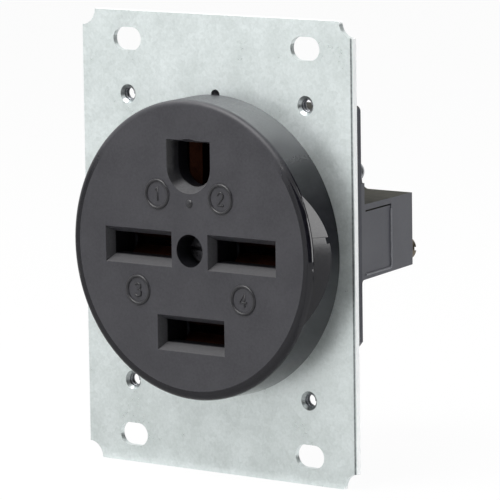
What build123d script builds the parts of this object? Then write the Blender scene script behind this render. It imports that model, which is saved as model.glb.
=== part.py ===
from build123d import *
import os

# Flush mount receptacle with three blade slots and a ground slot, for a wall box.
# The origin is on the rear face of the mounting strap, midway between the four box screws.
# +X is to the right of someone who faces the receptacle, +Z is up, and the face looks to -Y.

# Mounting strap: a flat galvanised plate
strap_width = 69.9
strap_height = 95.1
strap_thickness = 1.2
strap_corner_notch = 3.35
opening_corner = 2.0
peep_hole_radius = 1.1

# Slots for the screws of the wall box, on the standard spacing of a two-gang box
box_screw_spacing_x = 46.02
box_screw_spacing_z = 83.34
box_slot_length = 7.3
box_slot_width = 4.8

# Threaded holes for the screws of the wall plate
plate_screw_spacing_x = 46.02
plate_screw_spacing_z = 60.33
plate_screw_bore = 2.8
plate_screw_flare = 4.0
plate_screw_collar = 5.0
plate_screw_collar_height = 0.9

# Face: a round moulding in front of the strap
face_radius = 30.93
face_foot_radius = 31.15
face_height = 9.3
face_edge_radius = 1.2
spigot_clearance = 0.2

# Slots for the plug's three flat blades, all lying level
side_slot_x = 13.35
bottom_slot_z = -17.4
slot_entry_length = 17.4
slot_entry_height = 7.4
slot_length = 16.6
slot_height = 4.6
slot_bevel_depth = 2.9

# Slot for the plug's ground pin: flat above, round below
ground_z = 17.35
ground_entry_radius = 5.65
ground_entry_top = 5.35
ground_radius = 4.4
ground_top = 4.75
ground_bevel_depth = 2.4

# Finger pockets in the left and right side of the face
pocket_front_land = 1.0
pocket_depth = 2.95
pocket_slope = 0.55
pocket_rib_z = 3.8
pocket_rib_width = 1.3
pocket_rib_rise = 0.5

# Chambers behind the slots, where the contacts stand
front_plate = 5.5
chamber_length = 16.8
chamber_height = 8.6
ground_chamber_width = 12.0
ground_chamber_bottom = 11.0
ground_chamber_top = 22.6
opening_margin = 0.75

# Base: the rear moulding, a flat body with a narrow block across its rear
body_half_width = 23.0
body_half_height = 28.4
body_depth = 17.6
body_corner_radius = 1.2
body_cut_x = 6.6
body_cut_z = 7.8
block_half_height = 7.84
block_end_half_height = 7.66
block_end_half_width = 19.0
block_end = 41.4
block_root_fillet = 0.8
block_edge_radius = 0.6
side_wall = 2.0
rear_wall = 1.9
body_rear_wall = 1.6
spine_half_width = 6.1
spine_half_height = 11.0
spine_fillet = 1.8
column_clearance = 1.45
block_chamber_x = 18.2
block_chamber_bottom = -6.6
block_chamber_top = 5.2

# Contacts: two springy leaves that pinch a blade, and a tail to the wire clamp
leaf_thickness = 1.0
contact_width = 13.0
contact_front = -4.6
contact_pinch_start = -2.8
contact_pinch_length = 2.6
contact_bend_y = 6.4
lip_gap = 5.0
pinch_gap = 1.7
root_gap = 3.6
ground_contact_width = 9.0
ground_lip_gap = 8.4
ground_pinch_gap = 4.6
ground_root_gap = 6.0
tail_thickness = 1.2
tail_width = 4.6
fit_gap = 0.2
thread_gap = 0.02

# Spring collars that squeeze the leaves
collar_length = 2.4
collar_wall = 0.7

# Wire clamps: a screw draws a threaded plate towards the contact's tail
wire_space = 4.6
wire_entry_width = 5.0
wire_entry_corner = 0.5
clamp_thickness = 1.6
clamp_screw_radius = 1.5
clamp_screw_reach = 0.5
clamp_head_radius = 2.6
clamp_head_height = 2.0
clamp_screw_z = -4.6
side_screw_x = 16.0
side_wire_x = 10.7
body_screw_x = 4.3
ground_screw_x = 3.4
ground_wire_x = -3.15
body_wire_x = -3.6
driver_slot_width = 0.8
driver_slot_depth = 1.0

head_edge_radius = 0.5

# Centre screw, which pulls the face and the base together over the strap
centre_bore_radius = 3.35
centre_bore_depth = 6.3
centre_head_radius = 3.1
centre_head_height = 2.2
centre_screw_radius = 1.75
centre_screw_length = 14.0
insert_radius = 3.2
insert_length = 10.0
insert_seat = 0.6

# Rivets that hold the base on the strap, on opposite corners of the block
rivet_x = 20.7
rivet_z = 14.6
rivet_radius = 1.5
rivet_head_radius = 2.25
rivet_head_height = 2.5
rivet_dome_radius = 1.9
rivet_flush_radius = 2.5
pad_height = 1.4
pad_width = 5.2

# Ground bond: a lug of the ground contact, riveted to the strap
bond_width = 6.0
bond_thickness = 1.0
bond_rivet_z = 25.6
bond_rivet_radius = 1.2
bond_lug_end = 0.9
bond_rivet_head_radius = 2.0
bond_rivet_head_height = 0.8

# Side covers of the block
cover_start = 1.8
cover_length = 12.0
cover_bottom = -6.9
cover_top = 6.55
cover_thickness = 1.5
cover_sink = 0.15
cover_gap = 0.15
cover_top_gap = 0.35
cover_window_length = 8.0
cover_window_height = 7.0

# Worked out from the values above
strap_front = -strap_thickness
column_half_width = side_slot_x - contact_width / 2 - column_clearance
face_front = strap_front - face_height
chamber_front = face_front + front_plate
chamber_rear_x = body_half_width - side_wall
opening_half_x = side_slot_x + chamber_length / 2 + opening_margin
opening_half_z = chamber_height / 2 + opening_margin
opening_stem_half_x = chamber_length / 2 + opening_margin
opening_bottom = bottom_slot_z - chamber_height / 2 - opening_margin
opening_top = ground_chamber_top + opening_margin
block_slope = (body_half_width - block_end_half_width) / (block_end - body_depth)
body_chamber_end = body_depth - body_rear_wall
block_chamber_end = block_end - rear_wall
pad_top = rivet_z - rivet_head_radius - fit_gap / 2
tail_hole_radius = clamp_screw_radius + fit_gap / 2
clamp_hole_radius = clamp_screw_radius + thread_gap
small = 0.01
overrun = 1.0


def level(y):
    """The plane square to Y at depth y. Its sketch is drawn as seen from the front."""
    return Plane.XZ.offset(-y)


def box_sketch(x_low, x_high, z_low, z_high):
    """A rectangle given by its sides, in the sketch that is open."""
    with Locations(((x_low + x_high) / 2, (z_low + z_high) / 2)):
        Rectangle(x_high - x_low, z_high - z_low)


def prism(y_start, y_end, x_low, x_high, z_low, z_high, mode=Mode.ADD):
    """A square block between two depths, in the part that is open."""
    with BuildSketch(level(y_start)) as section:
        box_sketch(x_low, x_high, z_low, z_high)
    extrude(section.sketch, amount=y_start - y_end, mode=mode)


def rod(y_start, y_end, x, z, radius, mode=Mode.ADD):
    """A round bar or hole along Y, in the part that is open."""
    with BuildSketch(level(y_start)) as section:
        with Locations((x, z)):
            Circle(radius)
    extrude(section.sketch, amount=y_start - y_end, mode=mode)


def finish(part, name):
    """Labels a finished piece and writes it."""
    part.label = name
    export_step(part, f"parts/{name}.step")


def opening_outline(clearance):
    """The cross-shaped opening of the strap, or the spigot that fits it with a clearance."""
    half_x = opening_half_x - clearance
    half_z = opening_half_z - clearance
    stem = opening_stem_half_x - clearance
    box_sketch(-half_x, half_x, -half_z, half_z)
    box_sketch(-stem, stem, opening_bottom + clearance, opening_top - clearance)


def flank(side):
    """The sloping side of the block, from its root to the rear. Its normal points outwards."""
    return Plane(
        origin=(side * body_half_width, body_depth, 0),
        x_dir=(-side * block_slope, 1, 0),
        z_dir=(side, block_slope, 0),
    )


def spring_leaves(x, z, turned, width, lip, pinch, root):
    """A folded strip whose two leaves pinch a blade, in the part that is open."""
    normal = (0, 0, 1) if turned else (1, 0, 0)
    pinch_end = contact_pinch_start + contact_pinch_length
    with BuildSketch(Plane(origin=(x, 0, z), x_dir=(0, 1, 0), z_dir=normal)) as section:
        for grow, mode in ((leaf_thickness, Mode.ADD), (0, Mode.SUBTRACT)):
            with BuildLine():
                Polyline(
                    (contact_front, lip / 2 + grow),
                    (contact_pinch_start, pinch / 2 + grow),
                    (pinch_end, pinch / 2 + grow),
                    (contact_bend_y + grow, root / 2 + grow),
                    (contact_bend_y + grow, -root / 2 - grow),
                    (pinch_end, -pinch / 2 - grow),
                    (contact_pinch_start, -pinch / 2 - grow),
                    (contact_front, -lip / 2 - grow),
                    close=True,
                )
            make_face(mode=mode)
    extrude(section.sketch, amount=width / 2, both=True)


def collar(x, z, half_x, half_z):
    """A spring collar around the leaves, given by its inner half sizes."""
    start = contact_pinch_start + (contact_pinch_length - collar_length) / 2
    with BuildPart() as ring:
        with BuildSketch(level(start)):
            with Locations((x, z)):
                RectangleRounded(2 * (half_x + collar_wall), 2 * (half_z + collar_wall), collar_wall)
                Rectangle(2 * half_x, 2 * half_z, mode=Mode.SUBTRACT)
        extrude(amount=-collar_length)
    return ring.part


def screw(x, z, seat, head_radius, head_height, radius, length):
    """A slotted pan head screw. The head stands on the rear or the front of its seat."""
    towards = 1 if length < 0 else -1
    with BuildPart() as bolt:
        rod(seat, seat + towards * head_height, x, z, head_radius)
        rim = bolt.edges().filter_by(GeomType.CIRCLE).sort_by(Axis.Y)[-1 if towards > 0 else 0]
        fillet(rim, head_edge_radius)
        rod(seat, seat + length, x, z, radius)
        slot_start = seat + towards * (head_height - driver_slot_depth)
        half = driver_slot_width / 2
        prism(slot_start, seat + towards * head_height, x - head_radius, x + head_radius,
              z - half, z + half, Mode.SUBTRACT)
    return bolt.part


def clamp_screw(x, z, seat, clamp_front):
    """A screw on a rear face, long enough to reach through its clamp plate."""
    length = clamp_front - clamp_screw_reach - seat
    return screw(x, z, seat, clamp_head_radius, clamp_head_height, clamp_screw_radius, length)


os.makedirs("parts", exist_ok=True)

# Mounting strap
with BuildPart() as strap:
    with BuildSketch(level(strap_front)):
        Rectangle(strap_width, strap_height)
        with GridLocations(strap_width, strap_height, 2, 2):
            Circle(strap_corner_notch, mode=Mode.SUBTRACT)
        with GridLocations(box_screw_spacing_x, box_screw_spacing_z, 2, 2):
            SlotOverall(box_slot_length, box_slot_width, mode=Mode.SUBTRACT)
        with BuildSketch(mode=Mode.SUBTRACT) as opening:
            opening_outline(0)
            fillet(opening.vertices(), opening_corner)
        with Locations((0, face_foot_radius)):
            Circle(peep_hole_radius, mode=Mode.SUBTRACT)
    extrude(amount=-strap_thickness)
    with BuildSketch(level(0)):
        with GridLocations(plate_screw_spacing_x, plate_screw_spacing_z, 2, 2):
            Circle(plate_screw_collar / 2)
    extrude(amount=-plate_screw_collar_height)
    with Locations(level(strap_front)):
        with GridLocations(plate_screw_spacing_x, plate_screw_spacing_z, 2, 2):
            CounterSinkHole(plate_screw_bore / 2, plate_screw_flare / 2, counter_sink_angle=90)
        with Locations((rivet_x, rivet_z), (-rivet_x, -rivet_z)):
            CounterSinkHole(
                rivet_radius + thread_gap,
                rivet_flush_radius + thread_gap,
                counter_sink_angle=90,
            )
        with Locations((0, bond_rivet_z)):
            Hole(bond_rivet_radius)
finish(strap.part, "mounting_strap")

# Face
with BuildPart() as face:
    with BuildSketch(Plane.XY) as profile:
        with BuildLine():
            Polyline(
                (0, face_front),
                (face_radius, face_front),
                (face_foot_radius, strap_front),
                (0, strap_front),
                close=True,
            )
        make_face()
        rim = profile.vertices().group_by(Axis.Y)[0].sort_by(Axis.X)[-1]
        fillet(rim, face_edge_radius)
    revolve(axis=Axis.Y)
    with BuildSketch(level(strap_front)) as spigot:
        opening_outline(spigot_clearance)
        fillet(spigot.vertices(), opening_corner)
    extrude(amount=-strap_thickness)

    # Blade slots with bevelled entries, and the chambers behind them
    for x, z in ((-side_slot_x, 0), (side_slot_x, 0), (0, bottom_slot_z)):
        with BuildSketch(level(face_front)):
            with Locations((x, z)):
                Rectangle(slot_entry_length, slot_entry_height)
        with BuildSketch(level(face_front + slot_bevel_depth)):
            with Locations((x, z)):
                Rectangle(slot_length, slot_height)
        loft(mode=Mode.SUBTRACT)
        for start, length, height in (
            (face_front, slot_length, slot_height),
            (chamber_front, chamber_length, chamber_height),
        ):
            x_edges = (x - length / 2, x + length / 2)
            z_edges = (z - height / 2, z + height / 2)
            prism(start, 0, *x_edges, *z_edges, Mode.SUBTRACT)

    # Ground slot and its chamber
    with BuildSketch(level(face_front)):
        with Locations((0, ground_z)):
            Circle(ground_entry_radius)
        box_sketch(-ground_entry_radius, ground_entry_radius, ground_z, ground_z + ground_entry_top)
    with BuildSketch(level(face_front + ground_bevel_depth)):
        with Locations((0, ground_z)):
            Circle(ground_radius)
        box_sketch(-ground_radius, ground_radius, ground_z, ground_z + ground_top)
    loft(mode=Mode.SUBTRACT)
    with BuildSketch(level(face_front + ground_bevel_depth)):
        with Locations((0, ground_z)):
            Circle(ground_radius)
        box_sketch(-ground_radius, ground_radius, ground_z, ground_z + ground_top)
    extrude(amount=ground_bevel_depth - front_plate, mode=Mode.SUBTRACT)
    x_edges = (-ground_chamber_width / 2, ground_chamber_width / 2)
    prism(chamber_front, 0, *x_edges, ground_chamber_bottom, ground_chamber_top, Mode.SUBTRACT)

    # Bore of the centre screw
    rod(face_front, face_front + centre_bore_depth, 0, 0, centre_bore_radius, Mode.SUBTRACT)
    rod(face_front, 0, 0, 0, centre_screw_radius + fit_gap, Mode.SUBTRACT)

    # Room for the front head of the bond rivet
    rod(
        strap_front - bond_rivet_head_height - fit_gap,
        strap_front,
        0,
        bond_rivet_z,
        bond_rivet_head_radius + fit_gap,
        Mode.SUBTRACT,
    )

    # Finger pockets: a sloping floor on each side, with a low rib across it
    pocket_front = face_front + pocket_front_land
    outside = face_foot_radius + overrun
    rib_low = pocket_rib_z - pocket_rib_width / 2
    rib_high = pocket_rib_z + pocket_rib_width / 2
    stretches = (
        (-face_radius, rib_low, 0),
        (rib_low, rib_high, pocket_rib_rise),
        (rib_high, face_radius, 0),
    )
    for side in (-1, 1):
        for z_low, z_high, rise in stretches:
            floor_x = face_radius - pocket_depth + rise
            run = (outside - floor_x) / pocket_slope
            with BuildSketch(Plane.XY.offset(z_low)):
                with BuildLine():
                    Polyline(
                        (side * floor_x, pocket_front),
                        (side * outside, pocket_front),
                        (side * outside, pocket_front + run),
                        close=True,
                    )
                make_face()
            extrude(amount=z_high - z_low, mode=Mode.SUBTRACT)
finish(face.part, "face")

# Base
with BuildPart() as base:
    with BuildSketch(level(0)) as body_outline:
        with BuildLine():
            Polyline(
                (-body_half_width, body_half_height),
                (body_half_width, body_half_height),
                (body_half_width, body_cut_z - body_half_height),
                (body_half_width - body_cut_x, -body_half_height),
                (body_cut_x - body_half_width, -body_half_height),
                (-body_half_width, body_cut_z - body_half_height),
                close=True,
            )
        make_face()
        fillet(body_outline.vertices().group_by(Axis.Y)[-1], body_corner_radius)
    extrude(amount=-body_depth)
    with BuildSketch(Plane.YZ):
        with BuildLine():
            Polyline(
                (body_depth - overrun, -block_half_height),
                (body_depth, -block_half_height),
                (block_end, -block_end_half_height),
                (block_end, block_end_half_height),
                (body_depth, block_half_height),
                (body_depth - overrun, block_half_height),
                close=True,
            )
        make_face()
    extrude(amount=body_half_width, both=True)
    roots = base.edges().filter_by(Axis.X).filter_by(
        lambda e: abs(e.center().Y - body_depth) < small and abs(e.center().Z) < block_half_height + overrun
    )
    fillet(roots, block_root_fillet)

    # Spine along the middle of the block's top and bottom
    x_edges = (-spine_half_width, spine_half_width)
    prism(body_depth - overrun, block_end, *x_edges, -spine_half_height, spine_half_height)
    creases = base.edges().filter_by(
        lambda e: abs(abs(e.center().X) - spine_half_width) < small
        and e.center().Y > body_depth + block_root_fillet
        and abs(e.center().Z) < block_half_height
    )
    fillet(creases, spine_fillet)

    # Pads beside the block, under the rivets
    for side in (-1, 1):
        x_edges = sorted((side * body_half_width, side * (body_half_width - pad_width)))
        z_edges = sorted((side * (block_half_height - overrun), side * pad_top))
        prism(body_depth - overrun, body_depth + pad_height, *x_edges, *z_edges)

    # Sloping sides of the block, from the body's rear corners inwards
    for side in (-1, 1):
        outer_x = side * (body_half_width + block_end)
        with BuildSketch(Plane.XY.offset(-body_half_height)):
            with BuildLine():
                Polyline(
                    (side * body_half_width, body_depth),
                    (side * block_end_half_width, block_end),
                    (side * block_end_half_width, block_end + small),
                    (outer_x, block_end + small),
                    (outer_x, body_depth),
                    close=True,
                )
            make_face()
        extrude(amount=2 * body_half_height, mode=Mode.SUBTRACT)
    fillet(base.faces().sort_by(Axis.Y)[-1].edges(), block_edge_radius)

    # Relief for the collars behind the wall plate holes
    with BuildSketch(level(0)):
        with GridLocations(plate_screw_spacing_x, plate_screw_spacing_z, 2, 2):
            Circle(plate_screw_collar / 2 + fit_gap)
    extrude(amount=-plate_screw_collar_height - fit_gap, mode=Mode.SUBTRACT)

    # Chambers of the left and right contacts, deep into the block
    for side in (-1, 1):
        x_edges = sorted((side * column_half_width, side * chamber_rear_x))
        prism(0, body_depth, *x_edges, block_chamber_bottom, block_chamber_top, Mode.SUBTRACT)
        x_edges = sorted((side * column_half_width, side * block_chamber_x))
        prism(0, block_chamber_end, *x_edges, block_chamber_bottom, block_chamber_top, Mode.SUBTRACT)

    # Chambers of the bottom contact and the ground contact
    half = chamber_length / 2
    low = bottom_slot_z - chamber_height / 2
    high = bottom_slot_z + chamber_height / 2
    prism(0, body_chamber_end, -half, half, low, high, Mode.SUBTRACT)
    half = ground_chamber_width / 2
    prism(0, body_chamber_end, -half, half, ground_chamber_bottom, opening_top, Mode.SUBTRACT)
    bond_half = bond_width / 2 + fit_gap
    bond_end = bond_rivet_z + bond_rivet_radius + bond_lug_end + fit_gap
    prism(0, bond_thickness, -bond_half, bond_half, ground_z, bond_end, Mode.SUBTRACT)
    rod(0, bond_thickness + bond_rivet_head_height + fit_gap, 0, bond_rivet_z,
        bond_rivet_head_radius + fit_gap, Mode.SUBTRACT)

    # Wire entries: from below into the block and the body, and from above for the ground
    block_wire_y = block_chamber_end - tail_thickness - wire_space / 2
    body_wire_y = body_chamber_end - tail_thickness - wire_space / 2
    for x, y, z_low, z_high in (
        (-side_wire_x, block_wire_y, -block_half_height, 0),
        (side_wire_x, block_wire_y, -block_half_height, 0),
        (body_wire_x, body_wire_y, -body_half_height, bottom_slot_z),
        (ground_wire_x, body_wire_y, ground_z, body_half_height),
    ):
        with BuildSketch(Plane.XY.offset(z_low)):
            with Locations((x, y)):
                RectangleRounded(wire_entry_width, wire_space, wire_entry_corner)
        extrude(amount=z_high - z_low, mode=Mode.SUBTRACT)

    # Screw holes through the rear walls, rivet holes and the seat of the centre insert
    for x, z, end in (
        (-side_screw_x, clamp_screw_z, block_end),
        (side_screw_x, clamp_screw_z, block_end),
        (body_screw_x, bottom_slot_z, body_depth),
        (ground_screw_x, ground_z, body_depth),
    ):
        rod(end - rear_wall - small, end, x, z, clamp_screw_radius + fit_gap, Mode.SUBTRACT)
    for side in (-1, 1):
        rod(0, body_depth, side * rivet_x, side * rivet_z, rivet_radius + thread_gap, Mode.SUBTRACT)
    rod(0, insert_seat + insert_length, 0, 0, insert_radius, Mode.SUBTRACT)
    rod(0, centre_screw_length, 0, 0, centre_screw_radius + fit_gap, Mode.SUBTRACT)

    # Seats and windows of the side covers, sunk in the sloping sides of the block
    for side in (-1, 1):
        seat_mid = (cover_start + cover_length / 2, side * (cover_bottom + cover_top) / 2)
        with BuildSketch(flank(side)):
            with Locations(seat_mid):
                Rectangle(cover_length, cover_top - cover_bottom)
        extrude(amount=-cover_thickness - cover_sink, mode=Mode.SUBTRACT)
        with BuildSketch(flank(side)):
            with Locations(seat_mid):
                Rectangle(cover_window_length, cover_window_height)
        extrude(amount=-2 * cover_thickness - side_wall, mode=Mode.SUBTRACT)
finish(base.part, "rear_base")

# Side covers
for side, name in ((-1, "side_cover_left"), (1, "side_cover_right")):
    low = cover_bottom + cover_gap
    high = cover_top - cover_top_gap
    with BuildPart() as cover:
        with BuildSketch(flank(side).offset(-cover_sink)):
            with Locations((cover_start + cover_length / 2, side * (low + high) / 2)):
                Rectangle(cover_length - 2 * cover_gap, high - low)
        extrude(amount=-cover_thickness)
    finish(cover.part, name)

# Left and right contacts: leaves, a strip along the top of the chamber and an end plate
strip_top = block_chamber_top - fit_gap
strip_bottom = strip_top - tail_thickness
plate_bottom = block_chamber_bottom + fit_gap
strip_start = column_half_width + fit_gap
plate_front = block_chamber_end - tail_thickness
clamp_rear = plate_front - wire_space
clamp_front = clamp_rear - clamp_thickness
for side, name in ((-1, "left"), (1, "right")):
    strip_x = sorted((side * strip_start, side * (strip_start + tail_width)))
    plate_x = sorted((side * strip_start, side * (block_chamber_x - fit_gap)))
    screw_x = side * side_screw_x
    with BuildPart() as contact:
        spring_leaves(side * side_slot_x, 0, False, contact_width, lip_gap, pinch_gap, root_gap)
        prism(contact_bend_y, contact_bend_y + leaf_thickness, *strip_x, 0, strip_top)
        prism(contact_bend_y, block_chamber_end, *strip_x, strip_bottom, strip_top)
        prism(plate_front, block_chamber_end, *plate_x, plate_bottom, strip_top)
        rod(plate_front, block_chamber_end, screw_x, clamp_screw_z, tail_hole_radius, Mode.SUBTRACT)
    finish(contact.part, f"contact_{name}")
    with BuildPart() as clamp:
        prism(clamp_front, clamp_rear, *plate_x, plate_bottom, strip_bottom - fit_gap)
        rod(clamp_front, clamp_rear, screw_x, clamp_screw_z, clamp_hole_radius, Mode.SUBTRACT)
    finish(clamp.part, f"wire_clamp_{name}")
    finish(clamp_screw(screw_x, clamp_screw_z, block_end, clamp_front), f"clamp_screw_{name}")

# Bottom contact: its strip runs along the upper side of the chamber
half_chamber = chamber_length / 2 - fit_gap
chamber_bottom = bottom_slot_z - chamber_height / 2 + fit_gap
strip_top = bottom_slot_z + chamber_height / 2 - fit_gap
strip_bottom = strip_top - tail_thickness
plate_front = body_chamber_end - tail_thickness
clamp_rear = plate_front - wire_space
clamp_front = clamp_rear - clamp_thickness
strip_x = (-tail_width / 2, tail_width / 2)
with BuildPart() as contact_bottom:
    spring_leaves(0, bottom_slot_z, False, contact_width, lip_gap, pinch_gap, root_gap)
    prism(contact_bend_y, contact_bend_y + leaf_thickness, *strip_x, bottom_slot_z, strip_top)
    prism(contact_bend_y, body_chamber_end, *strip_x, strip_bottom, strip_top)
    prism(plate_front, body_chamber_end, -half_chamber, half_chamber, chamber_bottom, strip_top)
    rod(plate_front, body_chamber_end, body_screw_x, bottom_slot_z, tail_hole_radius, Mode.SUBTRACT)
finish(contact_bottom.part, "contact_bottom")
with BuildPart() as clamp_bottom:
    prism(clamp_front, clamp_rear, -half_chamber, half_chamber, chamber_bottom, strip_bottom - fit_gap)
    rod(clamp_front, clamp_rear, body_screw_x, bottom_slot_z, clamp_hole_radius, Mode.SUBTRACT)
finish(clamp_bottom.part, "wire_clamp_bottom")
finish(clamp_screw(body_screw_x, bottom_slot_z, body_depth, clamp_front), "clamp_screw_bottom")

# Ground contact: upright leaves, a strip below, and a lug forward to the strap
half_chamber = ground_chamber_width / 2 - fit_gap
strip_bottom = ground_chamber_bottom + fit_gap
strip_top = strip_bottom + tail_thickness
plate_top = ground_z + ground_contact_width / 2
lug_x = (-bond_width / 2, bond_width / 2)
riser_top = opening_top - fit_gap - fit_gap
riser_bottom = riser_top - bond_thickness
lug_end = bond_rivet_z + bond_rivet_radius + bond_lug_end
with BuildPart() as contact_ground:
    spring_leaves(0, ground_z, True, ground_contact_width, ground_lip_gap, ground_pinch_gap, ground_root_gap)
    prism(contact_bend_y, contact_bend_y + leaf_thickness, *lug_x, strip_bottom, riser_top)
    prism(contact_bend_y, body_chamber_end, *strip_x, strip_bottom, strip_top)
    prism(plate_front, body_chamber_end, -half_chamber, half_chamber, strip_bottom, plate_top)
    rod(plate_front, body_chamber_end, ground_screw_x, ground_z, tail_hole_radius, Mode.SUBTRACT)
    prism(0, contact_bend_y + leaf_thickness, *lug_x, riser_bottom, riser_top)
    prism(0, bond_thickness, *lug_x, riser_bottom, lug_end)
    rod(0, bond_thickness, 0, bond_rivet_z, bond_rivet_radius + thread_gap, Mode.SUBTRACT)
finish(contact_ground.part, "contact_ground")
with BuildPart() as clamp_ground:
    prism(clamp_front, clamp_rear, -half_chamber, half_chamber, strip_top + fit_gap, plate_top)
    rod(clamp_front, clamp_rear, ground_screw_x, ground_z, clamp_hole_radius, Mode.SUBTRACT)
finish(clamp_ground.part, "wire_clamp_ground")
finish(clamp_screw(ground_screw_x, ground_z, body_depth, clamp_front), "clamp_screw_ground")

# Spring collars
flat_half = contact_width / 2 + thread_gap
flat_reach = pinch_gap / 2 + leaf_thickness + thread_gap
finish(collar(-side_slot_x, 0, flat_half, flat_reach), "spring_collar_left")
finish(collar(side_slot_x, 0, flat_half, flat_reach), "spring_collar_right")
finish(collar(0, bottom_slot_z, flat_half, flat_reach), "spring_collar_bottom")
ground_half = ground_contact_width / 2 + thread_gap
ground_reach = ground_pinch_gap / 2 + leaf_thickness + thread_gap
finish(collar(0, ground_z, ground_reach, ground_half), "spring_collar_ground")

# Centre screw and the brass insert that it is screwed into
seat = face_front + centre_bore_depth
bolt = screw(0, 0, seat, centre_head_radius, centre_head_height, centre_screw_radius, centre_screw_length)
finish(bolt, "centre_screw")
with BuildPart() as insert:
    rod(insert_seat, insert_seat + insert_length, 0, 0, insert_radius - small)
    rod(insert_seat, insert_seat + insert_length, 0, 0, centre_screw_radius + thread_gap, Mode.SUBTRACT)
finish(insert.part, "centre_insert")

# Rivets that hold the base on the strap: flush in front, domed behind
for side, name in ((1, "strap_rivet_upper"), (-1, "strap_rivet_lower")):
    with BuildPart() as rivet:
        flare = rivet_flush_radius - rivet_radius
        with BuildSketch(level(strap_front)):
            with Locations((side * rivet_x, side * rivet_z)):
                Circle(rivet_flush_radius)
        with BuildSketch(level(strap_front + flare)):
            with Locations((side * rivet_x, side * rivet_z)):
                Circle(rivet_radius)
        loft()
        rod(strap_front, body_depth, side * rivet_x, side * rivet_z, rivet_radius)
        rod(body_depth, body_depth + rivet_head_height, side * rivet_x, side * rivet_z, rivet_head_radius)
        fillet(rivet.edges().filter_by(GeomType.CIRCLE).sort_by(Axis.Y)[-1], rivet_dome_radius)
    finish(rivet.part, name)

# Rivet of the ground bond
with BuildPart() as bond_rivet:
    rod(strap_front - bond_rivet_head_height, strap_front, 0, bond_rivet_z, bond_rivet_head_radius)
    rod(strap_front, bond_thickness, 0, bond_rivet_z, bond_rivet_radius)
    rod(bond_thickness, bond_thickness + bond_rivet_head_height, 0, bond_rivet_z, bond_rivet_head_radius)
finish(bond_rivet.part, "bond_rivet")
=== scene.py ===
import math

import bmesh
import bpy
from mathutils import Matrix, Vector


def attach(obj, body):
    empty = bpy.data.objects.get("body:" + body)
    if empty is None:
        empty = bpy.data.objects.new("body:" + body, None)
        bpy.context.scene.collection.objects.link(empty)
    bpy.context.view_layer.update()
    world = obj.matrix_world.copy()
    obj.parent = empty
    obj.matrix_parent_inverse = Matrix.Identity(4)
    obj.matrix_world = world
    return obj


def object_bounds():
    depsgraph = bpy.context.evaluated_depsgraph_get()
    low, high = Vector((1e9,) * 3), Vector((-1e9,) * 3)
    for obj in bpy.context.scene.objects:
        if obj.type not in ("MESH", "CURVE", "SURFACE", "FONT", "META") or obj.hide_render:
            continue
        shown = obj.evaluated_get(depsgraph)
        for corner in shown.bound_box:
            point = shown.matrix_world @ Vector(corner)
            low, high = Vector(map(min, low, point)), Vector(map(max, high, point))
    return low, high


# Flush mount receptacle, dressed for one picture and for every other side.
# Lengths are in metres unless a comment says otherwise. +X is right, +Z is up, the face looks to -Y.

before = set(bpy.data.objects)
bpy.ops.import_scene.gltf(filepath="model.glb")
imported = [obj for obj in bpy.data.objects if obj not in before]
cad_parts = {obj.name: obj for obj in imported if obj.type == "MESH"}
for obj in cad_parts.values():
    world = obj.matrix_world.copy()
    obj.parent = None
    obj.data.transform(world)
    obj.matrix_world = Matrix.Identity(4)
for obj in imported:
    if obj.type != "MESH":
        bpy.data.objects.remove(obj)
cad_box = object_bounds()
mm = 0.001
white = (1, 1, 1, 1)

# Camera: the photograph's view, through a long lens. Angles are in degrees
camera_azimuth = 37.67
camera_elevation = 8.14
camera_roll = -0.82
camera_distance = 875.1 * mm
camera_target = Vector((8.40, -1.2, -0.27)) * mm
camera_lens = 308.35
camera_sensor = 36.0
camera_clip_start = 0.01
camera_clip_end = 50.0

# Light and room
background_white = 1.0
room_light = 0.18
floor_gap = 0.05 * mm
floor_size = 6.0
floor_color = (0.9, 0.9, 0.9, 1)
floor_glow_share = 0.96

# Lamps: name, azimuth and elevation in degrees, distance, size, power, color
lamps = (
    ("key", -16, 56, 0.65, 0.5, 5.8, (1.0, 0.99, 0.98)),
    ("fill", 48, 18, 1.1, 0.6, 0.5, (1.0, 1.0, 1.0)),
    ("side", -98, 50, 0.65, 0.35, 1.0, (1.0, 1.0, 1.0)),
    ("rear", 108, 22, 0.7, 0.4, 1.7, (0.98, 0.99, 1.0)),
)

# Cards that shape the reflections: dark at the rear right and in front to the right, grey in front,
# bright at the right. Name, corners, grey level, glow
low_z = cad_box[0].z
cards = (
    (
        "upright_card",
        ((0.2, 0.03, low_z), (0.2, 0.5, low_z), (0.2, 0.5, 0.35), (0.2, 0.03, 0.35)),
        0.02, 0.0,
    ),
    (
        "lying_card",
        ((0.1, 0.06, low_z), (0.2, 0.03, low_z), (0.2, 0.35, low_z), (0.1, 0.35, low_z)),
        0.02, 0.0,
    ),
    (
        "ahead_card",
        ((-0.45, -0.5, low_z), (0.05, -0.5, low_z), (0.05, -0.005, low_z), (-0.45, -0.005, low_z)),
        0.5, 0.0,
    ),
    (
        "beside_card",
        ((0.15, -0.035, -0.014), (0.15, 0.02, -0.014), (0.15, 0.02, 0.05), (0.15, -0.035, 0.05)),
        0.8, 7.0,
    ),
    (
        "across_card",
        ((0.03, -0.25, -0.03), (0.25, -0.03, -0.03), (0.25, -0.03, 0.10), (0.03, -0.25, 0.10)),
        0.0, 0.0,
    ),
)
card_roughness = 0.9
card_specular = 0.1

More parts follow.
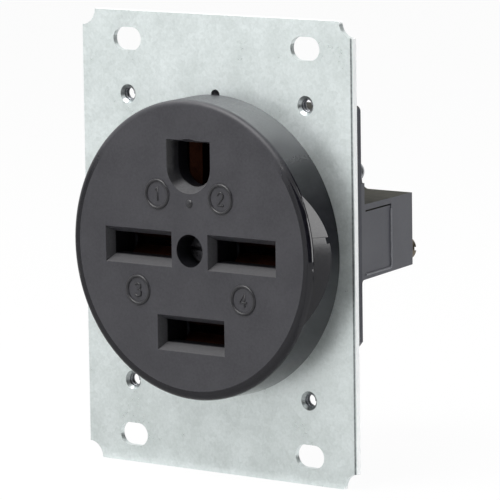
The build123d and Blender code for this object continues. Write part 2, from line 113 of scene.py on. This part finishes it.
# Marks on the face, in millimetres: rings, the strokes of the numerals 1 to 4, and a dot
ring_points = 48
face_y = -10.5
mark_places = ((-8.2, 11.2), (8.2, 11.2), (-13.65, -9.05), (13.65, -9.05))
mark_radius = 2.85
mark_bead = 0.34
numeral_bead = 0.22
numerals = (
    (((-0.4, 0.85), (0.1, 1.35), (0.1, -1.35)),),
    ((
        (-0.75, 0.7), (-0.5, 1.2), (0, 1.38), (0.5, 1.2), (0.72, 0.7), (0.5, 0.15), (-0.75, -1.3),
        (0.8, -1.3),
    ),),
    (
        ((-0.7, 1.05), (-0.3, 1.35), (0.2, 1.32), (0.6, 1.0), (0.6, 0.5), (0.25, 0.15), (-0.1, 0.08)),
        ((-0.1, 0.08), (0.35, 0), (0.72, -0.4), (0.7, -0.95), (0.3, -1.32), (-0.3, -1.35), (-0.75, -1.0)),
    ),
    (((0.35, -1.35), (0.35, 1.35), (-0.85, -0.5), (0.85, -0.5)),),
)
dot_place = (0.2, 9.75)
dot_profile = ((0, -0.30), (0.35, -0.27), (0.65, -0.16), (0.85, 0.0), (0.85, 0.2), (0, 0.2))

# Threads in the wall plate holes and the plug in the strap's small hole, in millimetres
plate_holes = ((-23.01, -30.165), (23.01, -30.165), (-23.01, 30.165), (23.01, 30.165))
thread_radius = 1.33
thread_bead = 0.17
thread_pitch = 0.79
thread_start = -0.55
thread_turns = 1.7
thread_steps = 28
plug_place = (0, 31.15)
plug_profile = ((0, -0.5), (0.5, -0.55), (0.85, -0.75), (1.08, -0.85), (1.08, 0.3), (0, 0.3))
turned_steps = 32
weld_distance = 0.001

# Lines on the rear housing, in millimetres
block_side_x = 22.97
block_side_y = 17.6
block_slope = 4.0 / 23.8
cover_outline = ((19.3, -6.87), (30.6, -6.87), (30.95, -6.75), (31.12, -6.4), (31.12, 5.5))
cover_bead = 0.26
ejector_places = (
    (-11.8, 41.4, 3.6), (11.8, 41.4, 3.6),
    (-16.5, 17.6, 24.2), (16.5, 17.6, 24.2), (-13.0, 17.6, -23.6), (13.0, 17.6, -23.6),
)
ejector_radius = 1.7
ejector_bead = 0.13
parting_y = 6.5
parting_bead = 0.12
body_outline = (
    (-21.8, 28.4), (21.8, 28.4), (22.65, 28.05), (23.0, 27.2), (23.0, -20.6), (16.4, -28.4),
    (-16.4, -28.4), (-23.0, -20.6), (-23.0, 27.2), (-22.65, 28.05),
)

# Where a finish changes along an axis: the axis, and the places in millimetres where it goes from 0 to 1
strap_outline = (("X", 34.3, 34.6), ("X", -34.3, -34.6), ("Z", 46.9, 47.2), ("Z", -46.9, -47.2))
# The band along the strap's right rolled edge that gets painted shade
strap_rolled_edge = (("X", 34.2, 34.4), ("X", 34.8, 34.6))
satin_middle = (("X", 26, 22), ("X", -26, -22), ("Z", -5, 5))
slot_depth = ("Y", -7.9, -7.6)
ground_slot_height = ("Z", 12.5, 13.5)
body_front = ("Y", 13, 11)

# Where a finish changes with the distance from an axis along Y, outer and inner, in millimetres
satin_disc = (29.1, 28.9)
slotted_disc = (27, 26)
bore_wall = (3.45, 3.38)
plate_hole_wall = (2.7, 2.5)

# Where a finish changes with the way the surface faces: the axis, and the shares of facing it
edge_on = (("Y", -0.9, -0.6), ("Y", 0.9, 0.6))
right_facing_walls = ("X", 0.3, 0.5)
slot_sills = ("Z", 0.3, 0.5)
ground_slot_wall = ("X", 0.5, 0.7)
upward_faces = ("Z", 0.4, 0.9)

# Size of the blotches of each noise in millimetres, and the share of the second one in a blend
cloud_size = 9
zinc_spangle_size = 0.9
zinc_grain_size = 0.6
zinc_grain_share = 0.75
zinc_cloud_share = 0.5
face_grain_size = 0.45
face_grain_share = 0.5
base_cloud_size = 12
base_cloud_detail = 3
base_grain_size = 0.5
base_grain_share = 0.35
top_tone_size = 2

# Colours, dark and light
zinc_flat = ((0.60, 0.66, 0.65), (0.79, 0.85, 0.85))
# Painted highlight: the strap's cut edges, near white and barely metallic so that they read as lit edges
zinc_cut_highlight = ((0.90, 0.93, 0.94), (0.97, 0.98, 0.98))
# Painted shade: darker zinc in the flares of the wall plate holes and along the strap's right rolled edge
zinc_painted_shade = ((0.10, 0.11, 0.12), (0.26, 0.28, 0.29))
face_moulded = ((0.028, 0.028, 0.033), (0.042, 0.042, 0.048))
# Painted light: slot walls that face right and sills that face up are lighter, as if lit
face_walls_painted_light = ((0.046, 0.046, 0.050), (0.064, 0.064, 0.069))
face_sill_painted_light = ((0.072, 0.072, 0.076), (0.096, 0.096, 0.101))
face_glossy = ((0.004, 0.004, 0.006), (0.008, 0.008, 0.011))
# Painted shade: near black deep in the slots, in the centre bore and on the ground slot's wall
face_painted_shade = ((0.002, 0.002, 0.003), (0.006, 0.006, 0.008))
base_moulded = ((0.056, 0.057, 0.068), (0.074, 0.076, 0.088))
# Painted shade: the front of the body next to the strap is darker, as if shaded by it
base_painted_shade = ((0.024, 0.025, 0.029), (0.034, 0.035, 0.040))
# Painted light and shade: a warm, darker tone for faces that look up, standing in for how light falls on
# the tops
base_top_painted_tone = ((0.018, 0.0175, 0.013), (0.034, 0.033, 0.025))

# Roughness, lowest and highest
zinc_roughness = (0.26, 0.40)
glossy_roughness = (0.07, 0.10)
satin_roughness = (0.36, 0.48)
base_roughness = (0.34, 0.46)
top_roughness = (0.9, 1.0)

# Relief in millimetres, and how metallic and mirror-like the large pieces are
zinc_relief = 0.007
face_relief = 0.008
base_relief = 0.005
zinc_metallic = 0.85
zinc_cut_metallic = 0.1
thermoset_specular = 0.35

# The range of grey levels that a blend of two noises fills
blend_range = (0.35, 0.65)

# Plain finishes: metallic, specular, size of the blotches in millimetres, dark and light colour,
# lowest and highest roughness, relief in millimetres
plain_looks = {
    # The marks' plastic is darker as painted shade along the raised rings, numerals and dot
    "mark_plastic_painted_shade": (0.0, 0.45, 0.7, (0.009, 0.009, 0.011), (0.020, 0.020, 0.023), (0.30, 0.42), 0.004),
    # The housing lines' plastic is lighter as a painted highlight along them
    "plastic_painted_highlight": (0.0, 0.4, 0.8, (0.13, 0.132, 0.145), (0.18, 0.183, 0.20), (0.5, 0.65), 0.004),
    "ground_screw_green": (0.55, 0.5, 0.9, (0.02, 0.13, 0.05), (0.06, 0.30, 0.11), (0.24, 0.40), 0.005),
}

# Metals: dark and light colour, roughness, stretch of the streaks along the axes
metal_looks = {
    # The contacts' copper is very dark as painted shade, deep in the slots
    "copper_alloy": ((0.022, 0.008, 0.005), (0.07, 0.025, 0.014), 0.38, (1, 6, 1)),
    "brass": ((0.60, 0.44, 0.18), (0.78, 0.60, 0.28), 0.28, (1, 1, 1)),
    # Darkened brass for the clamp screws: painted shade where they sit at the back of the housing
    "brass_painted_shade": ((0.07, 0.06, 0.045), (0.20, 0.17, 0.12), 0.32, (1, 1, 1)),
    "spring_steel": ((0.025, 0.026, 0.032), (0.055, 0.057, 0.066), 0.36, (1, 5, 1)),
    "screw_steel": ((0.20, 0.21, 0.23), (0.34, 0.35, 0.37), 0.30, (1, 1, 1)),
    # Darkened steel: painted shade for the centre screw deep in its bore and for the plug in the strap's
    # small hole
    "steel_painted_shade": ((0.05, 0.05, 0.055), (0.11, 0.11, 0.12), 0.34, (1, 1, 1)),
}
streak_size = 0.5
streak_detail = 3
tarnish_size = 3.5
tarnish_share = 0.6
metal_smoother = 0.07
metal_rougher = 0.09
metal_relief = 0.006

# Finish and slot of each piece, by the start of its name
piece_finishes = {
    "mounting_strap": ("galvanised_steel", "galvanised_steel"),
    "face": ("face_plastic", "face_plastic"),
    "rear_base": ("base_plastic", "base_plastic"),
    "side_cover": ("base_plastic", "base_plastic"),
    "contact": ("copper_alloy", "copper_alloy"),
    "spring_collar": ("spring_steel", "spring_steel"),
    "wire_clamp": ("brass", "brass"),
    # The clamp screws get darkened brass, painted shade
    "clamp_screw": ("brass_painted_shade", "brass"),
    "clamp_screw_ground": ("ground_screw_green", "ground_screw_green"),
    # Painted shade: the centre screw gets darkened steel
    "centre_screw": ("steel_painted_shade", "screw_steel"),
    "centre_insert": ("brass", "brass"),
    "strap_rivet": ("screw_steel", "screw_steel"),
    "bond_rivet": ("screw_steel", "screw_steel"),
}


def line_of_sight(azimuth, elevation):
    """The direction from the object to a viewer at an azimuth and elevation in radians."""
    return Vector((
        math.sin(azimuth) * math.cos(elevation),
        -math.cos(azimuth) * math.cos(elevation),
        math.sin(elevation),
    ))


def add_camera():
    """A camera that looks along the photograph's line of sight."""
    azimuth, elevation, roll = (
        math.radians(a) for a in (camera_azimuth, camera_elevation, camera_roll)
    )
    back = line_of_sight(azimuth, elevation)
    right = Vector((0, 0, 1)).cross(back).normalized()
    up = back.cross(right)
    rolled_right = right * math.cos(roll) + up * math.sin(roll)
    rolled_up = up * math.cos(roll) - right * math.sin(roll)
    turn = Matrix((rolled_right, rolled_up, back)).transposed().to_4x4()
    data = bpy.data.cameras.new("camera")
    data.lens = camera_lens
    data.sensor_width = camera_sensor
    data.clip_start = camera_clip_start
    data.clip_end = camera_clip_end
    camera = bpy.data.objects.new("camera", data)
    camera.matrix_world = Matrix.Translation(camera_target + back * camera_distance) @ turn
    bpy.context.scene.collection.objects.link(camera)
    bpy.context.scene.camera = camera


def add_lamp(name, azimuth, elevation, distance, size, power, color):
    """A square soft lamp that faces the object from a direction given in degrees."""
    back = line_of_sight(math.radians(azimuth), math.radians(elevation))
    data = bpy.data.lights.new(name, "AREA")
    data.size = size
    data.energy = power
    data.color = color
    lamp = bpy.data.objects.new(name, data)
    lamp.location = back * distance
    lamp.rotation_mode = "QUATERNION"
    lamp.rotation_quaternion = (-back).to_track_quat("-Z", "Y")
    bpy.context.scene.collection.objects.link(lamp)


def seen_directly(tree):
    """1 for rays that should see the white background: camera, mirror-like and see-through rays."""
    path = tree.nodes.new("ShaderNodeLightPath")
    total = path.outputs["Is Camera Ray"]
    for name in ("Is Glossy Ray", "Is Transmission Ray"):
        add = tree.nodes.new("ShaderNodeMath")
        add.operation = "MAXIMUM"
        tree.links.new(total, add.inputs[0])
        tree.links.new(path.outputs[name], add.inputs[1])
        total = add.outputs[0]
    return total


def set_world():
    """A white background, and a dimmer even light on the object."""
    world = bpy.data.worlds.new("studio")
    bpy.context.scene.world = world
    world.use_nodes = True
    tree = world.node_tree
    tree.nodes.clear()
    mix = tree.nodes.new("ShaderNodeMixShader")
    for place, strength in ((1, room_light), (2, background_white)):
        node = tree.nodes.new("ShaderNodeBackground")
        node.inputs["Color"].default_value = white
        node.inputs["Strength"].default_value = strength
        tree.links.new(node.outputs[0], mix.inputs[place])
    out = tree.nodes.new("ShaderNodeOutputWorld")
    tree.links.new(seen_directly(tree), mix.inputs["Fac"])
    tree.links.new(mix.outputs[0], out.inputs["Surface"])


def sheet_of(name, corners):
    """A flat sheet with four corners, and the node tree of its own material."""
    mesh = bpy.data.meshes.new(name)
    mesh.from_pydata(corners, [], [(0, 1, 2, 3)])
    sheet = bpy.data.objects.new(name, mesh)
    bpy.context.scene.collection.objects.link(sheet)
    material = bpy.data.materials.new(name)
    material.use_nodes = True
    mesh.materials.append(material)
    return sheet, material.node_tree


def add_floor():
    """A wide pale floor just under the object."""
    half = floor_size / 2
    level = low_z - floor_gap
    corners = [(-half, -half, level), (half, -half, level), (half, half, level), (-half, half, level)]
    floor, tree = sheet_of("floor", corners)
    tree.nodes.clear()
    diffuse = tree.nodes.new("ShaderNodeBsdfDiffuse")
    diffuse.inputs["Color"].default_value = floor_color
    glow = tree.nodes.new("ShaderNodeEmission")
    glow.inputs["Strength"].default_value = background_white
    mix = tree.nodes.new("ShaderNodeMixShader")
    share = tree.nodes.new("ShaderNodeMath")
    share.operation = "MULTIPLY"
    share.inputs[1].default_value = floor_glow_share
    out = tree.nodes.new("ShaderNodeOutputMaterial")
    tree.links.new(seen_directly(tree), share.inputs[0])
    tree.links.new(share.outputs[0], mix.inputs["Fac"])
    tree.links.new(diffuse.outputs[0], mix.inputs[1])
    tree.links.new(glow.outputs[0], mix.inputs[2])
    tree.links.new(mix.outputs[0], out.inputs["Surface"])


def add_card(name, corners, grey, glow):
    """A grey or glowing card near the object, which only mirror-like rays see."""
    card, tree = sheet_of(name, corners)
    shader = tree.nodes["Principled BSDF"]
    shader.inputs["Base Color"].default_value = (grey, grey, grey, 1)
    shader.inputs["Emission Color"].default_value = white
    shader.inputs["Emission Strength"].default_value = glow
    shader.inputs["Roughness"].default_value = card_roughness
    shader.inputs["Specular IOR Level"].default_value = card_specular
    card.visible_camera = False
    card.visible_diffuse = False
    card.visible_shadow = False
    card.visible_transmission = False


class Finish:
    """A procedural surface finish, made of nodes that read the object's own coordinates.

    Sizes and places that its methods take are in millimetres.
    """

    def __init__(self, name, metallic=0.0, specular=0.5):
        self.material = bpy.data.materials.new(name)
        self.material.use_nodes = True
        self.tree = self.material.node_tree
        self.shader = self.tree.nodes["Principled BSDF"]
        self.shader.inputs["Metallic"].default_value = metallic
        self.shader.inputs["Specular IOR Level"].default_value = specular
        self.place = self.tree.nodes.new("ShaderNodeTexCoord").outputs["Object"]

    def link(self, source, target):
        self.tree.links.new(source, target)

    def stretched(self, x, y, z):
        """The object's coordinates, stretched along its axes."""
        node = self.tree.nodes.new("ShaderNodeMapping")
        node.inputs["Scale"].default_value = (x, y, z)
        self.link(self.place, node.inputs["Vector"])
        return node.outputs[0]

    def noise(self, size, detail=4, place=None):
        """Soft noise whose blotches are about as large as size."""
        node = self.tree.nodes.new("ShaderNodeTexNoise")
        node.inputs["Scale"].default_value = 1 / (size * mm)
        node.inputs["Detail"].default_value = detail
        self.link(place or self.place, node.inputs["Vector"])
        return node.outputs["Fac"]

    def cells(self, size):
        """A grey level that differs from one crystal-like cell to the next."""
        node = self.tree.nodes.new("ShaderNodeTexVoronoi")
        node.inputs["Scale"].default_value = 1 / (size * mm)
        self.link(self.place, node.inputs["Vector"])
        split = self.tree.nodes.new("ShaderNodeSeparateColor")
        self.link(node.outputs["Color"], split.inputs[0])
        return split.outputs[0]

    def mean(self, first, second, share):
        """The weighted mean of two grey levels, by a share that differs over the surface."""
        node = self.tree.nodes.new("ShaderNodeMix")
        self.link(share, node.inputs["Factor"])
        self.link(first, node.inputs["A"])
        self.link(second, node.inputs["B"])
        return node.outputs["Result"]

    def blend(self, first, second, share):
        """The weighted mean of two grey levels, by one share all over."""
        node = self.tree.nodes.new("ShaderNodeMix")
        node.inputs["Factor"].default_value = share
        self.link(first, node.inputs["A"])
        self.link(second, node.inputs["B"])
        return node.outputs["Result"]

    def spread(self, level, low, high, start=0.3, end=0.7):
        """Maps the levels from start to end onto the values from low to high."""
        node = self.tree.nodes.new("ShaderNodeMapRange")
        for name, value in (("From Min", start), ("From Max", end), ("To Min", low), ("To Max", high)):
            node.inputs[name].default_value = value
        self.link(level, node.inputs["Value"])
        return node.outputs[0]

    def tint(self, level, dark, light, start=0.3, end=0.7):
        """Maps the levels from start to end onto the colours from dark to light."""
        node = self.tree.nodes.new("ShaderNodeValToRGB")
        for stop, position, color in zip(node.color_ramp.elements, (start, end), (dark, light)):
            stop.position = position
            stop.color = (*color, 1)
        self.link(level, node.inputs["Fac"])
        return node.outputs["Color"]

    def over(self, share, base, top):
        """The colour top laid over the colour base where share is high."""
        node = self.tree.nodes.new("ShaderNodeMix")
        node.data_type = "RGBA"
        self.link(share, node.inputs["Factor"])
        self.link(base, node.inputs[6])
        self.link(top, node.inputs[7])
        return node.outputs[2]

    def along(self, axis, start, end):
        """Rises from 0 to 1 between two places along one of the object's axes."""
        split = self.tree.nodes.new("ShaderNodeSeparateXYZ")
        self.link(self.place, split.inputs[0])
        return self.spread(split.outputs[axis], 0, 1, start * mm, end * mm)

    def within(self, outer, inner):
        """Rises from 0 to 1 from an outer to an inner distance from the object's Y axis."""
        node = self.tree.nodes.new("ShaderNodeVectorMath")
        node.operation = "LENGTH"
        self.link(self.stretched(1, 0, 1), node.inputs[0])
        return self.spread(node.outputs["Value"], 0, 1, outer * mm, inner * mm)

    def near(self, place, outer, inner):
        """Rises from 0 to 1 towards an (x, z) place and its mirror images."""
        mirrored = self.tree.nodes.new("ShaderNodeVectorMath")
        mirrored.operation = "ABSOLUTE"
        self.link(self.stretched(1, 0, 1), mirrored.inputs[0])
        node = self.tree.nodes.new("ShaderNodeVectorMath")
        node.operation = "DISTANCE"
        self.link(mirrored.outputs[0], node.inputs[0])
        node.inputs[1].default_value = (place[0] * mm, 0, place[1] * mm)
        return self.spread(node.outputs["Value"], 0, 1, outer * mm, inner * mm)

    def facing(self, axis, start, end):
        """Rises from 0 to 1 as the surface turns towards an axis, between two shares of facing it."""
        node = self.tree.nodes.new("ShaderNodeNewGeometry")
        split = self.tree.nodes.new("ShaderNodeSeparateXYZ")
        self.link(node.outputs["Normal"], split.inputs[0])
        return self.spread(split.outputs[axis], 0, 1, start, end)

    def pick(self, operation, *levels):
        """The lowest (MINIMUM), the highest (MAXIMUM) or the product (MULTIPLY) of grey levels."""
        total = levels[0]
        for level in levels[1:]:
            node = self.tree.nodes.new("ShaderNodeMath")
            node.operation = operation
            self.link(total, node.inputs[0])
            self.link(level, node.inputs[1])
            total = node.outputs[0]
        return total

    def paint(self, color):
        self.link(color, self.shader.inputs["Base Color"])

    def polish(self, roughness):
        self.link(roughness, self.shader.inputs["Roughness"])

    def bump(self, level, depth):
        """Raises the surface by up to depth where the level is high."""
        node = self.tree.nodes.new("ShaderNodeBump")
        node.inputs["Distance"].default_value = depth * mm
        self.link(level, node.inputs["Height"])
        self.link(node.outputs["Normal"], self.shader.inputs["Normal"])


def galvanised_finish():
    """Dull hot-dipped zinc: pale, faintly blue-green, finely mottled, with a painted highlight on its cut
    edges and painted shade in its hole flares and along its right rolled edge.
    """
    finish = Finish("galvanised_steel", zinc_metallic)
    spangle = finish.cells(zinc_spangle_size)
    cloud = finish.noise(cloud_size)
    fine = finish.noise(zinc_grain_size)
    mottle = finish.blend(finish.blend(spangle, fine, zinc_grain_share), cloud, zinc_cloud_share)
    painted_shade = finish.tint(fine, *zinc_painted_shade)
    outline = finish.pick("MAXIMUM", *(finish.along(*edge) for edge in strap_outline))
    sideways = finish.pick("MULTIPLY", *(finish.facing(*side) for side in edge_on))
    rim = finish.pick("MULTIPLY", sideways, outline)
    # Painted shade in the flares of the wall plate holes
    holes = finish.pick("MULTIPLY", sideways, finish.near(plate_holes[3], *plate_hole_wall))
    # Painted shade along the strap's rolled edge on the right
    rolled = finish.pick("MINIMUM", *(finish.along(*edge) for edge in strap_rolled_edge))
    flat = finish.over(rolled, finish.tint(mottle, *zinc_flat), painted_shade)
    # Painted highlight on the cut edges, laid over the painted shade in the hole flares
    finish.paint(finish.over(rim, finish.over(holes, flat, painted_shade), finish.tint(fine, *zinc_cut_highlight)))
    metallic = finish.spread(rim, zinc_metallic, zinc_cut_metallic, 0, 1)
    finish.link(metallic, finish.shader.inputs["Metallic"])
    finish.polish(finish.spread(mottle, *zinc_roughness))
    finish.bump(fine, zinc_relief)
    return finish.material


def face_finish():
    """Moulded thermoset: satin in front, polished on the rim, with painted light on the slot walls and
    sills, and painted shade deep in the slots, in the bore and on the ground slot's wall.
    """
    finish = Finish("face_plastic", specular=thermoset_specular)
    cloud = finish.noise(cloud_size)
    fine = finish.noise(face_grain_size)
    inner = finish.within(*slotted_disc)
    middle = finish.pick("MINIMUM", *(finish.along(*edge) for edge in satin_middle))
    satin = finish.pick("MAXIMUM", finish.within(*satin_disc), middle)
    moulded = finish.tint(finish.blend(cloud, fine, face_grain_share), *face_moulded, *blend_range)
    # Painted light: lighter slot walls that face right and lighter sills that face up
    for side, colors in ((right_facing_walls, face_walls_painted_light), (slot_sills, face_sill_painted_light)):
        share = finish.pick("MINIMUM", finish.facing(*side), inner)
        moulded = finish.over(share, moulded, finish.tint(fine, *colors))
    shown = finish.over(satin, finish.tint(fine, *face_glossy), moulded)
    # Painted shade deep in the slots, in the bore and on the ground slot's wall
    deep = finish.pick("MINIMUM", finish.along(*slot_depth), inner)
    bore = finish.within(*bore_wall)
    ground_wall = finish.facing(*ground_slot_wall)
    ground = finish.pick("MINIMUM", ground_wall, finish.along(*ground_slot_height), inner)
    dark = finish.pick("MAXIMUM", deep, bore, ground)
    finish.paint(finish.over(dark, shown, finish.tint(fine, *face_painted_shade)))
    glossy_part = finish.spread(fine, *glossy_roughness)
    satin_part = finish.spread(fine, *satin_roughness)
    finish.polish(finish.mean(glossy_part, satin_part, satin))
    finish.bump(finish.pick("MULTIPLY", fine, satin), face_relief)
    return finish.material


def base_finish():
    """Moulded thermoset as it leaves the mould, with painted shade on the front of the body and a painted
    warm, darker tone on what faces up, standing in for the light on the tops.
    """
    finish = Finish("base_plastic", specular=thermoset_specular)
    cloud = finish.noise(base_cloud_size, base_cloud_detail)
    fine = finish.noise(base_grain_size)
    color = finish.tint(finish.blend(cloud, fine, base_grain_share), *base_moulded, *blend_range)
    # Painted shade on the front of the body, next to the strap
    color = finish.over(finish.along(*body_front), color, finish.tint(fine, *base_painted_shade))
    # Painted warm, darker tone on faces that look up, standing in for the light on the tops
    top_tone = finish.tint(finish.noise(top_tone_size), *base_top_painted_tone)
    upward = finish.facing(*upward_faces)
    finish.paint(finish.over(upward, color, top_tone))
    clean_part = finish.spread(fine, *base_roughness)
    top_part = finish.spread(fine, *top_roughness)
    finish.polish(finish.mean(clean_part, top_part, upward))
    finish.bump(fine, base_relief)
    return finish.material


def plain_finish(name, metallic, specular, size, dark, light, roughness, relief):
    """Plastic or dyed steel with blotches of one size."""
    finish = Finish(name, metallic, specular)
    blotches = finish.noise(size)
    finish.paint(finish.tint(blotches, dark, light))
    finish.polish(finish.spread(blotches, *roughness))
    finish.bump(blotches, relief)
    return finish.material


def metal_finish(name, dark, light, roughness, streak):
    """Bare or plated metal with faint drawn streaks and tarnish."""
    finish = Finish(name, metallic=1.0)
    streaks = finish.noise(streak_size, streak_detail, finish.stretched(*streak))
    tarnish = finish.noise(tarnish_size)
    finish.paint(finish.tint(finish.blend(streaks, tarnish, tarnish_share), dark, light, *blend_range))
    finish.polish(finish.spread(streaks, roughness - metal_smoother, roughness + metal_rougher))
    finish.bump(streaks, metal_relief)
    return finish.material


def piece_of(name, data, material):
    """Sets an object with one material on the body, as one of the object's pieces."""
    piece = bpy.data.objects.new(name, data)
    bpy.context.scene.collection.objects.link(piece)
    data.materials.append(material)
    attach(piece, "root")


def add_bead(name, paths, radius, material, closed=False):
    """Round beads along paths given in millimetres."""
    curve = bpy.data.curves.new(name, "CURVE")
    curve.dimensions = "3D"
    curve.bevel_depth = radius * mm
    curve.bevel_resolution = 2
    curve.use_fill_caps = True
    for path in paths:
        spline = curve.splines.new("POLY")
        spline.points.add(len(path) - 1)
        for point, place in zip(spline.points, path):
            point.co = (*(v * mm for v in place), 1)
        spline.use_cyclic_u = closed
    piece_of(name, curve, material)


def add_turned(name, profile, x, z, material, slot):
    """A turned piece: a profile of radii and Y places, in millimetres, spun round an axis along Y."""
    mesh = bpy.data.meshes.new(name)
    work = bmesh.new()
    line = [work.verts.new((x * mm + r * mm, y * mm, z * mm)) for r, y in profile]
    edges = [work.edges.new(pair) for pair in zip(line, line[1:])]
    bmesh.ops.spin(
        work, geom=line + edges, cent=(x * mm, 0, z * mm), axis=(0, 1, 0), angle=math.tau,
        steps=turned_steps, use_merge=True,
    )
    bmesh.ops.remove_doubles(work, verts=work.verts, dist=weld_distance * mm)
    bmesh.ops.recalc_face_normals(work, faces=work.faces)
    for face in work.faces:
        face.smooth = True
    work.to_mesh(mesh)
    work.free()
    piece_of(name, mesh, material)


def ring(x, y, z, radius):
    """Points on a circle that faces along Y."""
    turns = [math.tau * i / ring_points for i in range(ring_points)]
    return [(x + radius * math.cos(t), y, z + radius * math.sin(t)) for t in turns]


def add_face_marks(material):
    """A moulded ring with a plain numeral beside each slot, and a round dot below the ground slot, all in
    a darker plastic that paints their shade.
    """
    slot = "face_plastic"
    for i, (x, z) in enumerate(mark_places):
        circle = ring(x, face_y, z, mark_radius)
        add_bead(f"mark_ring_{i + 1}", [circle], mark_bead, material, closed=True)
        strokes = [[(x + u, face_y, z + v) for u, v in stroke] for stroke in numerals[i]]
        add_bead(f"mark_numeral_{i + 1}", strokes, numeral_bead, material)
    dome = [(r, face_y + y) for r, y in dot_profile]
    add_turned("mark_dot", dome, *dot_place, material, slot)


def add_threads(material):
    """The thread in each wall plate hole."""
    count = round(thread_turns * thread_steps)
    for i, (x, z) in enumerate(plate_holes):
        path = []
        for k in range(count + 1):
            turn = math.tau * k / thread_steps
            y = thread_start + thread_pitch * k / thread_steps
            path.append((x + thread_radius * math.cos(turn), y, z + thread_radius * math.sin(turn)))
        add_bead(f"plate_thread_{i + 1}", [path], thread_bead, material)


def add_housing_lines(material):
    """Fine raised lines on the rear housing: round the side covers, ejector marks, the parting line, in a
    lighter plastic that paints a highlight along them.
    """
    for side, name in ((-1, "left"), (1, "right")):
        path = []
        for y, z in cover_outline:
            path.append((side * (block_side_x - block_slope * (y - block_side_y)), y, z))
        add_bead(f"cover_line_{name}", [path], cover_bead, material)
    for i, place in enumerate(ejector_places):
        circle = ring(*place, ejector_radius)
        add_bead(f"ejector_mark_{i + 1}", [circle], ejector_bead, material, closed=True)
    outline = [(x, parting_y, z) for x, z in body_outline]
    add_bead("parting_line", [outline], parting_bead, material, closed=True)


def make_finishes():
    """Every finish, by its name."""
    made = {
        "galvanised_steel": galvanised_finish(),
        "face_plastic": face_finish(),
        "base_plastic": base_finish(),
    }
    made.update({name: metal_finish(name, *look) for name, look in metal_looks.items()})
    made.update({name: plain_finish(name, *look) for name, look in plain_looks.items()})
    return made


def dress_nodes(finishes):
    """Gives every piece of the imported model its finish."""
    for name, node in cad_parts.items():
        family = max((k for k in piece_finishes if name.startswith(k)), key=len)
        finish, slot = piece_finishes[family]
        node.data.materials.clear()
        node.data.materials.append(finishes[finish])


add_camera()
set_world()
add_floor()
for lamp in lamps:
    add_lamp(*lamp)
for card in cards:
    add_card(*card)
finishes = make_finishes()
add_face_marks(finishes["mark_plastic_painted_shade"])
add_threads(finishes["screw_steel"])
add_housing_lines(finishes["plastic_painted_highlight"])
# The plug in the strap's small hole is darkened steel, painted shade where the hole looks dark
add_turned("peep_plug", plug_profile, *plug_place, finishes["steel_painted_shade"], "screw_steel")
dress_nodes(finishes)
bpy.context.scene.view_settings.view_transform = "Standard"
